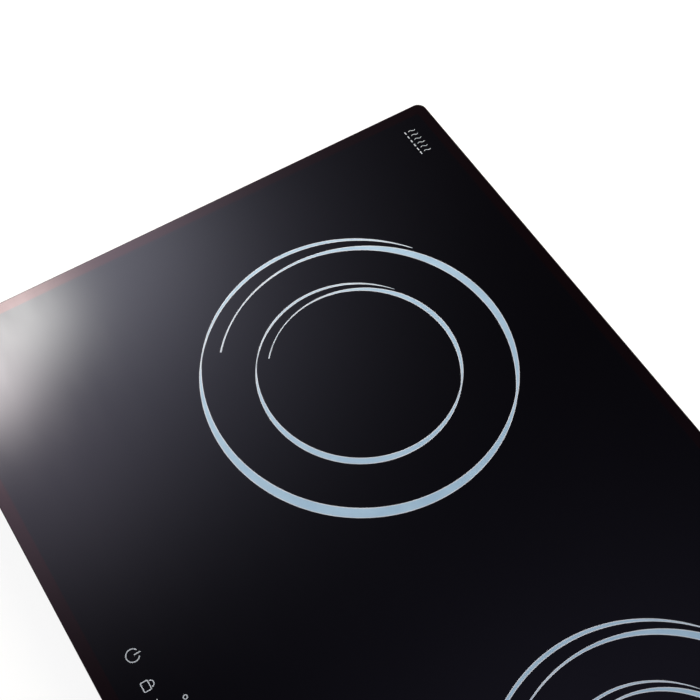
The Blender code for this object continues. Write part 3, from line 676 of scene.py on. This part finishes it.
def rim_seal():
    """A foam tape with round shoulders, pressed a little wider where it meets the glass."""
    low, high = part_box("rim_seal")
    width, tall = 8 * MM, high.z - low.z
    corner, sharpest = 4 * MM, 0.3 * MM
    points = 12
    roundness = 0.45  # 1 would make the section an ellipse, and 0 a rectangle
    taper = 0.35 * MM
    section = []
    for k in range(points):
        a = 2 * math.pi * (k + 0.5) / points
        across, up = (math.copysign(abs(v) ** roundness, v) for v in (math.cos(a), math.sin(a)))
        spare = taper * (1 - up) / 2
        section.append((width / 2 - across * (width / 2 - spare), low.z + tall * (1 + up) / 2))
    mesh = bmesh.new()
    loops = []
    for inset, z in section:
        outline = slab_outline(high.x - inset, high.y - inset, max(corner - inset, sharpest), 8)
        loops.append([(x, y, z) for x, y in outline])
    skin(mesh, loops)
    piece("rim_seal_tape", mesh, ("seal_foam",), replaces=("rim_seal",))


def cable_gland():
    """A hexagon collar on the wall, a fluted dome nut, and the grommet's ribs inside its mouth."""
    low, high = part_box("cable_gland")
    back, front = low.y - PAN_BACK_WALL, high.y - PAN_BACK_WALL
    bore = 5.5 * MM
    hexagon, dome = 13 * MM, 9.5 * MM
    collar_from = 11.5 * MM
    flute_from, flute_bottom = 9 * MM, 4.5 * MM
    flutes, flute_depth = 18, 0.35 * MM

    def swell(radius, height, angle):
        if radius >= collar_from:
            turn = (angle + math.pi / 6) % (math.pi / 3) - math.pi / 6
            return min(radius, hexagon * math.cos(math.pi / 6) / math.cos(turn))
        if radius > flute_from and height > flute_bottom:
            return radius - flute_depth * max(0.0, math.cos(angle * flutes)) ** 2
        return radius

    grip = [(bore + 0.5 * MM * (k % 2), front - (2.6 - 0.65 * k) * MM) for k in range(4)]
    outline = [(bore, back)] + grip + [(bore + 0.9 * MM, front), (7.4 * MM, front)]
    outline += [(8 * MM, front - 0.35 * MM), (9.1 * MM, front - 1.6 * MM), (dome, front - 2.3 * MM)]
    outline += [(dome, 5.3 * MM), (8.9 * MM, 4.9 * MM), (8.9 * MM, 4 * MM), (12.2 * MM, 4 * MM)]
    outline += [(hexagon, 3.5 * MM), (hexagon, 0.7 * MM), (12.4 * MM, 0.3 * MM), (dome, 0.3 * MM)]
    outline += [(dome, -1.3 * MM), (hexagon, -1.3 * MM), (hexagon, -6 * MM), (dome, -6 * MM), (dome, back)]
    mesh = bmesh.new()
    skin(mesh, turned_loops(outline, 144, swell))
    mesh.transform(at(0, PAN_BACK_WALL, middle("cable_gland").z) @ Matrix.Rotation(-QUARTER, 4, "X"))
    piece("cable_gland_body", mesh, ("frame_plastic",), replaces=("cable_gland",), angle=25)


def cross_plug(reach, half, depth):
    """A tapered cross, to press a screwdriver's recess into a head whose face is at z = 0."""
    plus = []
    for turn in range(4):
        c, s = round(math.cos(turn * QUARTER)), round(math.sin(turn * QUARTER))
        for x, y in ((reach, -half), (reach, half), (half, half)):
            plus.append((x * c - y * s, x * s + y * c))
    mesh = bmesh.new()
    capped(mesh, [[(x * k, y * k, z) for x, y in plus] for k, z in ((1.05, -0.2 * MM), (0.5, depth))])
    return mesh


def pan_head(radius, proud, bury):
    """A low round screw head that faces down, with a cross recess."""
    dome = [(radius * 0.45, -proud), (radius * 0.8, -0.85 * proud), (radius * 0.97, -0.45 * proud)]
    mesh = bmesh.new()
    capped(mesh, turned_loops(dome + [(radius, 0), (radius, bury)], 28))
    plug = cross_plug(radius * 0.62, radius * 0.13, 0.7 * MM)
    plug.transform(at(0, 0, -proud))
    return combined(mesh, plug, "DIFFERENCE")


def pan_screws():
    """Screws under the boards, the fans and the flange, each turned a little further than the last."""
    board_inset, fan_reach, flange_reach = 8 * MM, 41 * MM, 5 * MM
    under = []
    for side in SIDES:
        low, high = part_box(f"power_board_{side}")
        columns = (low.x + board_inset, high.x - board_inset)
        under += [(x, y) for x in columns for y in (low.y + board_inset, high.y - board_inset)]
        fan = middle(f"fan_frame_{side}")
        corners = (-fan_reach, fan_reach)
        under += [(fan.x + dx, fan.y + dy) for dx in corners for dy in corners]
    places = [at(x, y, PAN_LOW.z, 0.4 * i) for i, (x, y) in enumerate(under)]
    mesh = copies(pan_head(3.0 * MM, 0.42 * MM, 0.3 * MM), places)
    piece("pan_screws", mesh, ("zinc_steel",))
    flange = PAN_HIGH.z - SHEET
    edge_y, edge_x = PAN_BACK_WALL + flange_reach, PAN_SIDE_WALL + flange_reach
    rim = [(x * MM, y) for x in (-210, -70, 70, 210) for y in (-edge_y, edge_y)]
    rim += [(x, y * MM) for x in (-edge_x, edge_x) for y in (-40, 40)]
    places = [at(x, y, flange, 0.7 * i) for i, (x, y) in enumerate(rim)]
    mesh = copies(pan_head(2.8 * MM, 1.4 * MM, 0.3 * MM), places)
    piece("flange_screws", mesh, ("zinc_steel",))


def bead(mesh, x, y, half_x, half_y, rise):
    """A stiffening bead, pressed out of the pan's floor."""
    loops = []
    steps = 8
    for k in range(steps + 1):
        share = k / steps
        inset = half_y * 0.92 * share
        z = PAN_LOW.z - rise * (1 - math.cos(math.pi * share)) / 2
        outline = slab_outline(half_x - inset, half_y - inset, half_y - inset - 0.01 * MM, 8)
        loops.append([(x + u, y + v, z) for u, v in outline])
    loops.insert(0, [(px, py, PAN_LOW.z + 0.4 * MM) for px, py, _ in loops[0]])
    capped(mesh, loops)


def pan_beads():
    """Three long beads between the fans, and a row of three near the front."""
    mesh = bmesh.new()
    fan = middle("fan_frame_left")
    for y in (-28 * MM, 0, 28 * MM):
        bead(mesh, 0, fan.y + y, 115 * MM, 4 * MM, 0.4 * MM)
    for x in (-200 * MM, 0, 200 * MM):
        bead(mesh, x, -145 * MM, 70 * MM, 3.2 * MM, 0.35 * MM)
    piece("pan_beads", mesh, ("pan_steel",))


def spot_welds():
    """The shallow round dents that spot welding leaves where the ledges are held, each with a raised rim."""
    dent = bmesh.new()
    outline = [(2.7, 0.3), (2.7, 0.0), (2.45, -0.16), (2.1, -0.18), (1.8, -0.07), (0.9, -0.03)]
    capped(dent, turned_loops([(r * MM, h * MM) for r, h in outline], 24))
    reach, height = 7 * MM, 38.6 * MM
    places = []
    for number in CLAMPS:
        post = middle(f"clamp_screw_{number}")
        sign = math.copysign(1, post.x)
        sideways = Matrix.Rotation(-sign * QUARTER, 4, "Y")
        for dy in (-reach, reach):
            places.append(at(sign * PAN_SIDE_WALL, post.y + dy, height) @ sideways)
    piece("spot_welds", copies(dent, places), ("pan_steel",))


# ---------------------------------------------------------------- hold-down clamps


def clamp_screw(number):
    """A rolled thread over a low head with a cross recess, and the pin that turns in the flange."""
    node = f"clamp_screw_{number}"
    low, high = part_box(node)
    head, pin = 4 * MM, 1.3 * MM
    radius, root = 2 * MM, 1.62 * MM
    pitch, rows_per_turn = 1.0 * MM, 5
    start, end = low.z + 3.6 * MM, high.z - 1.8 * MM
    face = low.z
    outline = [(2.6 * MM, face), (3.4 * MM, face + 0.2 * MM), (3.85 * MM, face + 0.8 * MM)]
    outline += [(head, face + 1.6 * MM), (head, face + 2.8 * MM), (3.8 * MM, face + 3 * MM)]
    outline += [(root, face + 3 * MM), (root, start)]
    count = round((end - start) / pitch * rows_per_turn)
    outline += [(radius, start + (end - start) * (k + 0.5) / count) for k in range(count)]
    outline += [(root, end), (root, end + 0.3 * MM), (pin, end + 0.5 * MM), (pin, high.z - 0.2 * MM)]
    outline.append((pin * 0.8, high.z))

    def swell(reach, height, angle):
        if reach != radius:
            return reach
        turn = (height / pitch - angle / (2 * math.pi)) % 1
        fade = min(1, (height - start) / pitch, (end - height) / pitch)
        return root + (radius - root) * fade * min(1, 2.6 * abs(turn - 0.5))

    mesh = bmesh.new()
    capped(mesh, turned_loops(outline, 20, swell))
    plug = cross_plug(2.4 * MM, 0.45 * MM, 1.7 * MM)
    plug.transform(at(0, 0, face))
    mesh = combined(mesh, plug, "DIFFERENCE")
    where = middle(node)
    mesh.transform(at(where.x, where.y, 0, 0.5 * number))
    piece(f"clamp_screw_{number}_thread", mesh, ("zinc_steel",),
          body=f"clamp_{number}_post", replaces=(node,))


def clamp_arm_shape(low, reach):
    """A pressed arm along +Y: hub, plate with a rib, and a turned-up end with three teeth."""
    hub, bore = 4.6 * MM, 2.15 * MM
    half, thick = 4 * MM, 2 * MM
    corner, chamfer = 1.5 * MM, 0.5 * MM
    plate, top = low + 6 * MM, low + 11 * MM
    plan = arc(half - corner, reach - corner, corner, 0, QUARTER, 5)
    plan += arc(corner - half, reach - corner, corner, QUARTER, 2 * QUARTER, 5)
    plan += arc(0, 0, half, 2 * QUARTER, 4 * QUARTER, 14)
    arm = bmesh.new()
    capped(arm, [[(x, y, z) for x, y in plan] for z in (plate, plate + thick)])
    collar = bmesh.new()
    side = [(hub - chamfer, low), (hub, low + chamfer), (hub, plate + thick - chamfer)]
    capped(collar, turned_loops(side + [(hub - chamfer, plate + thick)], 36))
    arm = combined(arm, collar, "UNION")
    teeth, valley, tip = 3, top - 1.2 * MM, 0.5 * MM
    root = plate + 0.5 * MM
    profile = [(-half, root), (half, root), (half, valley)]
    for k in range(teeth):
        x = half - (k + 0.5) * 2 * half / teeth
        profile += [(x + tip, top), (x - tip, top), (x - half / teeth, valley)]
    turned_up = bmesh.new()
    capped(turned_up, [[(x, y, z) for x, z in profile] for y in (reach - thick, reach)])
    arm = combined(arm, turned_up, "UNION")
    rib = bmesh.new()
    loops = []
    for inset, rise in ((0, -0.5 * MM), (0.05 * MM, 0.2 * MM), (0.4 * MM, 0.7 * MM), (0.9 * MM, 0.9 * MM)):
        outline = slab_outline(2 * MM - inset, 9 * MM - inset, 1.9 * MM - inset, 6)
        loops.append([(x, y + 17 * MM, plate + thick + rise) for x, y in outline])
    capped(rib, loops)
    arm = combined(arm, rib, "UNION")
    hole = bmesh.new()
    mouth = [(bore + 0.5 * MM, low - 0.1 * MM), (bore, low + 0.5 * MM), (bore, plate + thick - 0.4 * MM)]
    capped(hole, turned_loops(mouth + [(bore + 0.5 * MM, plate + thick + 0.1 * MM)], 36))
    return combined(arm, hole, "DIFFERENCE")


def clamp_arm(number):
    """An arm on its screw, pointing along the pan's wall the way that its node does."""
    node = f"clamp_arm_{number}"
    low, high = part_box(node)
    hub = middle(f"clamp_screw_{number}")
    ahead = high.y - hub.y > hub.y - low.y
    reach = (high.y if ahead else 2 * hub.y - low.y) - hub.y
    mesh = clamp_arm_shape(low.z, reach)
    mesh.transform(at(hub.x, hub.y, 0, 0 if ahead else math.pi))
    piece(f"clamp_arm_{number}_pressing", mesh, ("zinc_steel",),
          body=f"clamp_{number}_hook", replaces=(node,))


# ---------------------------------------------------------------- fans


def fan_rotor(side):
    """A moulded rotor: a hub with a round shoulder, and seven twisted blades."""
    node = f"fan_rotor_{side}"
    low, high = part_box(node)
    where = middle(node)
    hub, tip, blades = 17 * MM, 42 * MM, 7
    base = low.z + 3 * MM
    shaft, chamfer, shoulder = 1.5 * MM, 0.6 * MM, 2.5 * MM
    outline = [(shaft, low.z), (shaft, base), (hub - chamfer, base), (hub, base + chamfer)]
    outline += arc(hub - shoulder, high.z - shoulder, shoulder, 0, QUARTER, 4)
    outline += [(10 * MM, high.z), (9.4 * MM, high.z - 0.5 * MM), (4 * MM, high.z - 0.5 * MM)]
    body = bmesh.new()
    capped(body, turned_loops(outline, 56))
    vanes = bmesh.new()
    mid = (base + high.z) / 2
    root = hub - 1.5 * MM
    stations, points = 8, 16
    camber, sweep = 1.3 * MM, 0.28
    for blade in range(blades):
        loops = []
        for k in range(stations + 1):
            share = k / stations
            r = root + (tip - root) * share
            pitch = math.radians(46 - 20 * share)
            chord, thick = (17 + 6 * share) * MM, (1.5 - 0.6 * share) * MM
            start = 2 * math.pi * blade / blades + sweep * share**2
            section = []
            for j in range(points):
                t = 2 * math.pi * j / points
                along = chord / 2 * math.cos(t)
                across = thick / 2 * math.sin(t) + camber * (1 - (2 * along / chord) ** 2)
                flat = along * math.cos(pitch) - across * math.sin(pitch)
                rise = along * math.sin(pitch) + across * math.cos(pitch)
                a = start + flat / r
                section.append((r * math.cos(a), r * math.sin(a), mid + rise))
            loops.append(section)
        capped(vanes, loops)
    mesh = combined(body, vanes, "UNION")
    mesh.transform(at(where.x, where.y))
    piece(f"fan_rotor_{side}_moulding", mesh, ("component_black",),
          body=f"fan_{side}", replaces=(node,))


# ---------------------------------------------------------------- studio

FLOOR_Z = -0.5 * MM
FLOOR_REACH = 60
FLOOR_GLOW = 0.84


def floor():
    """A pale floor just under the object: one big triangle, clear from below."""
    net = Net("floor", (0.18, 0.18, 0.18), 0.9)
    net.shader.inputs["Emission Color"].default_value = (1, 1, 1, 1)
    net.shader.inputs["Emission Strength"].default_value = FLOOR_GLOW
    net.colour(net.mix(net.noise(3.0), (0.175, 0.175, 0.175), (0.185, 0.185, 0.185)))
    clear = net.nodes.new("ShaderNodeBsdfTransparent")
    both = net.nodes.new("ShaderNodeMixShader")
    net.links.new(net.nodes.new("ShaderNodeNewGeometry").outputs["Backfacing"], both.inputs["Fac"])
    net.links.new(net.shader.outputs["BSDF"], both.inputs[1])
    net.links.new(clear.outputs["BSDF"], both.inputs[2])
    net.links.new(both.outputs["Shader"], net.nodes["Material Output"].inputs["Surface"])
    data = bpy.data.meshes.new("floor")
    corners = [(x, y, FLOOR_Z) for x, y in arc(0, 0, FLOOR_REACH, 0, 4 * math.pi / 3, 2)]
    data.from_pydata(corners, [], [(0, 1, 2)])
    data.materials.append(net.material)
    obj = bpy.data.objects.new("floor", data)
    bpy.context.scene.collection.objects.link(obj)


def soft_light(name, place, target, size, power, colour=(1, 1, 1)):
    """A round soft light. What the gloss mirrors is the room, not the lamps."""
    data = bpy.data.lights.new(name, "AREA")
    data.shape = "DISK"
    data.size = size
    data.energy = power
    data.color = colour
    obj = bpy.data.objects.new(name, data)
    obj.location = place
    obj.rotation_euler = (Vector(target) - Vector(place)).to_track_quat("-Z", "Y").to_euler()
    obj.visible_camera = False
    obj.visible_glossy = False
    bpy.context.scene.collection.objects.link(obj)


# The room that the glass mirrors: dark overhead, pale towards the horizon, with soft glows.
ROOM = (0.0, 0.0, 0.0024)
HORIZON = (0.50, 0.50, 0.52)
HORIZON_TOP, HORIZON_FULL = 0.62, 0.10  # the height of a direction where the pale part starts and is whole
# Each glow is (azimuth from +X, elevation, sharpness, colour), the angles in degrees. They were fitted to the
# tones of the photographed glass, then rounded.
GLOWS = (
    (172.5, 55.5, 1250, (11.5, 11.5, 11.0)),
    (177.5, 57.5, 1250, (14.0, 13.0, 13.0)),
    (165.5, 56.0, 85, (0.9, 0.9, 1.2)),
    (166.0, 53.5, 290, (1.9, 1.9, 2.2)),
    (179.0, 60.0, 180, (1.2, 1.1, 1.4)),
    (85.0, 74.5, 36, (0.20, 0.19, 0.31)),
)


def toward(azimuth, elevation):
    """The direction at these angles, in degrees."""
    around, up = math.radians(azimuth), math.radians(elevation)
    return Vector((math.cos(around) * math.cos(up), math.sin(around) * math.cos(up), math.sin(up)))


def room():
    """The world: what the object mirrors and is lit by. The camera sees plain white instead."""
    world = bpy.data.worlds.new("studio")
    bpy.context.scene.world = world
    world.use_nodes = True
    nodes, links = world.node_tree.nodes, world.node_tree.links
    background = nodes["Background"]
    way = nodes.new("ShaderNodeTexCoord").outputs["Generated"]
    height = nodes.new("ShaderNodeSeparateXYZ")
    links.new(way, height.inputs["Vector"])
    walls = nodes.new("ShaderNodeMapRange")
    walls.interpolation_type = "SMOOTHSTEP"
    walls.inputs["From Min"].default_value = HORIZON_TOP
    walls.inputs["From Max"].default_value = HORIZON_FULL
    links.new(height.outputs["Z"], walls.inputs["Value"])
    base = nodes.new("ShaderNodeVectorMath")
    base.operation = "MULTIPLY_ADD"
    links.new(walls.outputs["Result"], base.inputs[0])
    base.inputs[1].default_value = HORIZON
    base.inputs[2].default_value = ROOM
    total = base.outputs["Vector"]
    for azimuth, elevation, sharpness, colour in GLOWS:
        dot = nodes.new("ShaderNodeVectorMath")
        dot.operation = "DOT_PRODUCT"
        links.new(way, dot.inputs[0])
        dot.inputs[1].default_value = toward(azimuth, elevation)
        fall = nodes.new("ShaderNodeMath")
        fall.operation = "MULTIPLY_ADD"
        links.new(dot.outputs["Value"], fall.inputs[0])
        fall.inputs[1].default_value = sharpness
        fall.inputs[2].default_value = -sharpness
        power = nodes.new("ShaderNodeMath")
        power.operation = "EXPONENT"
        links.new(fall.outputs["Value"], power.inputs[0])
        tint = nodes.new("ShaderNodeVectorMath")
        tint.operation = "MULTIPLY_ADD"
        links.new(power.outputs["Value"], tint.inputs[0])
        tint.inputs[1].default_value = colour
        links.new(total, tint.inputs[2])
        total = tint.outputs["Vector"]
    links.new(total, background.inputs["Color"])
    pale = nodes.new("ShaderNodeBackground")
    pale.inputs["Color"].default_value = (1, 1, 1, 1)
    seen = nodes.new("ShaderNodeLightPath")
    both = nodes.new("ShaderNodeMixShader")
    links.new(seen.outputs["Is Camera Ray"], both.inputs["Fac"])
    links.new(background.outputs["Background"], both.inputs[1])
    links.new(pale.outputs["Background"], both.inputs[2])
    links.new(both.outputs["Shader"], nodes["World Output"].inputs["Surface"])


def camera():
    """The photograph's view. Its lens, place, target and roll were fitted to the panel's edges and ring."""
    data = bpy.data.cameras.new("camera")
    data.lens = 67.04
    data.sensor_width = 36
    obj = bpy.data.objects.new("camera", data)
    place = Vector((0.1694, -0.1804, 0.7316))
    target = Vector((-0.1595, 0.0378, 0.064))
    roll = math.radians(1.73)
    turn = (target - place).to_track_quat("-Z", "Y").to_matrix().to_4x4()
    obj.matrix_world = Matrix.Translation(place) @ turn @ Matrix.Rotation(roll, 4, "Z")
    bpy.context.scene.collection.objects.link(obj)
    bpy.context.scene.camera = obj


WARM = (1.0, 0.90, 0.74)


def studio():
    """The floor, the room, the camera and five soft lights."""
    floor()
    room()
    camera()
    centre = (0, 0, 0.05)
    soft_light("light_window", (-0.62, 0.08, 0.50), (-0.2, 0.05, 0.06), 0.4, 6.2, WARM)
    soft_light("light_front_right", (1.5, -1.3, 1.9), centre, 1.6, 26)
    soft_light("light_back_left", (-2.4, 1.6, 1.3), centre, 1.6, 34)
    soft_light("light_back_right", (0.9, 2.2, 1.6), centre, 1.4, 26)
    soft_light("light_front_left", (-1.6, -2.2, 1.5), centre, 1.4, 26)
    bpy.context.scene.view_settings.view_transform = "Standard"


finish_cad_nodes()
glass_panel()
for side in SIDES:
    zone_ring(side, "outer", 1.0)
    zone_ring(side, "inner", INNER_RING)
corner_mark()
touch_marks()
rim_seal()
cable_gland()
pan_screws()
pan_beads()
spot_welds()
for number in CLAMPS:
    clamp_screw(number)
    clamp_arm(number)
for side in SIDES:
    fan_rotor(side)
studio()
